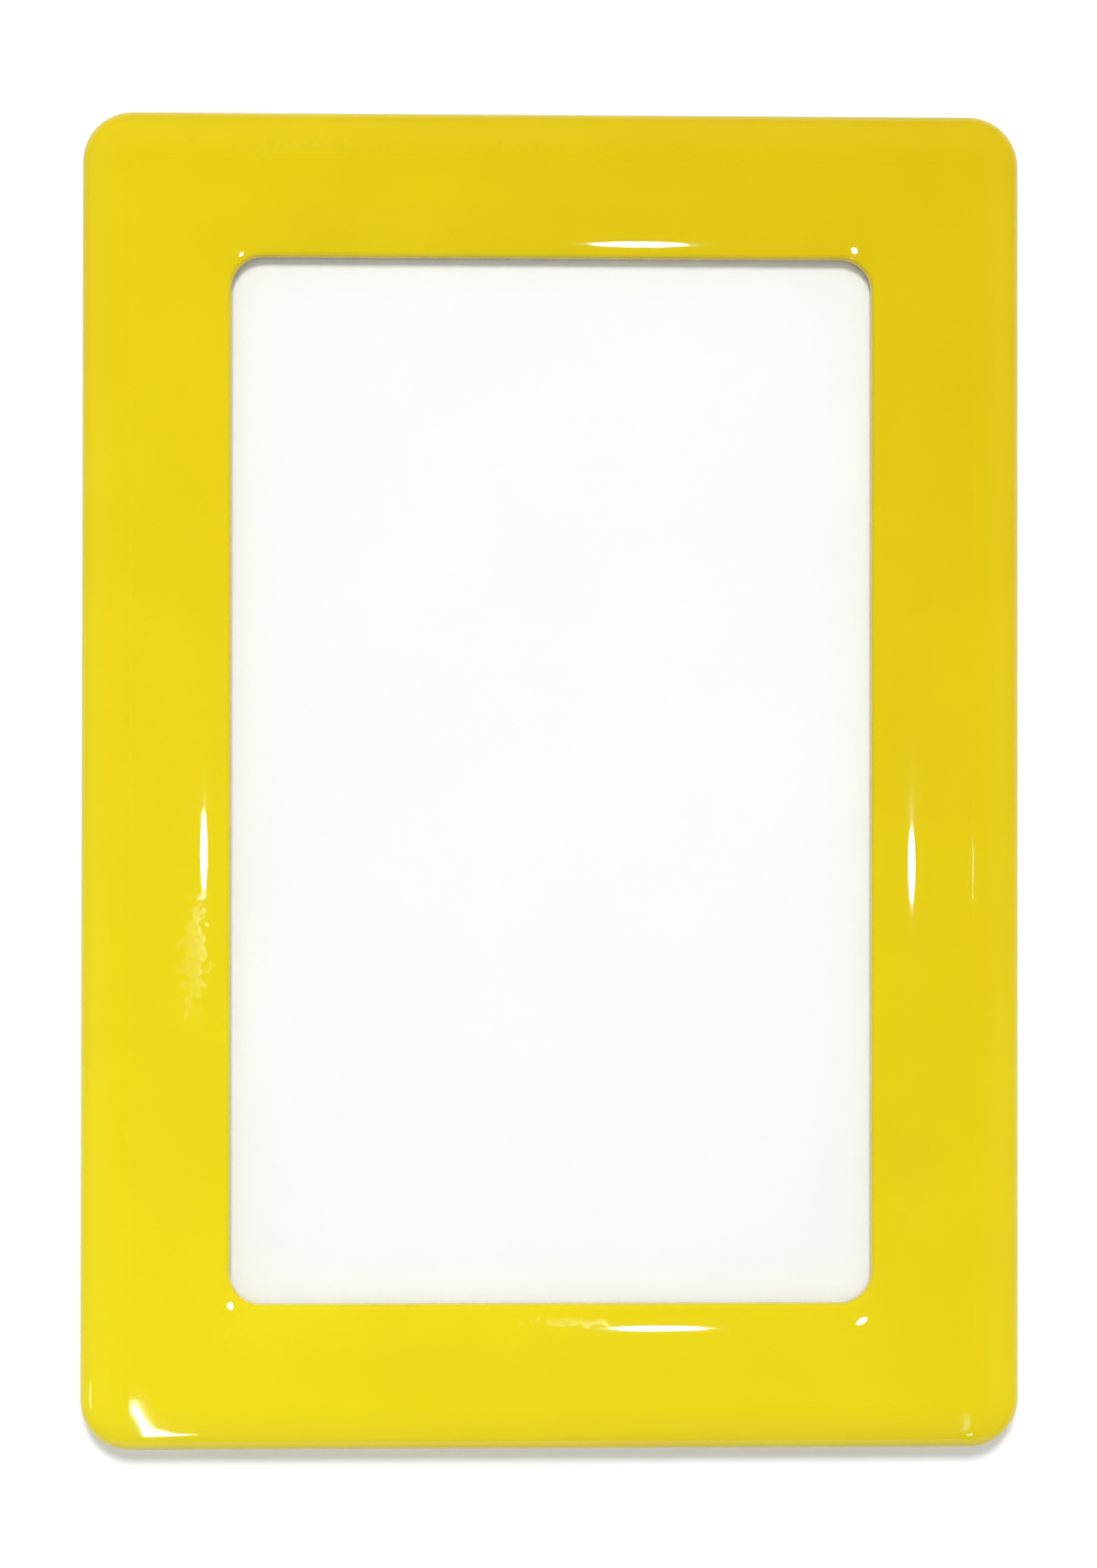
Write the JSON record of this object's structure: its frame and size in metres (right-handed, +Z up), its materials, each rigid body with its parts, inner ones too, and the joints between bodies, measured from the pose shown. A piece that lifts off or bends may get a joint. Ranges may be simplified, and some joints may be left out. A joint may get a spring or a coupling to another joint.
{
  "type": "magnetic display frame",
  "caption": "Upright display frame with a glossy rolled border, a clear window and magnet strips behind; the insert card slides out at the top.",
  "frame": {"origin": "middle of the plane of the magnets' back faces, where they meet the steel", "axes": "+X to the viewer's right, +Z up along the frame's long side, -Y out of the front, +Y into the steel"},
  "size_m": [0.118, 0.0068, 0.168],
  "materials": {
    "bezel_plastic": "glossy moulded ABS, lemon yellow",
    "pane_sheet": "clear extruded acrylic sheet",
    "card_stock": "smooth white card",
    "panel_plastic": "fine textured moulded ABS, pale grey",
    "magnet_strip": "flexible ferrite-filled strip, dull dark brown",
    "tape_film": "double-sided tape, off-white"
  },
  "bodies": {
    "frame_shell": {"front_bezel": "bezel_plastic", "window_pane": "pane_sheet", "back_panel": "panel_plastic", "magnet_left": "magnet_strip", "magnet_right": "magnet_strip", "magnet_bottom": "magnet_strip", "magnet_top_left": "magnet_strip", "magnet_top_right": "magnet_strip", "tape_left": "tape_film", "tape_right": "tape_film", "tape_bottom": "tape_film", "tape_top_left": "tape_film", "tape_top_right": "tape_film"},
    "insert_card": {"display_card": "card_stock"}
  },
  "joints": [
    {"name": "card_slide", "type": "slide", "parent": "frame_shell", "child": "insert_card", "axis": [0, 0, 1], "range_m": [0, 0.152]}
  ]
}
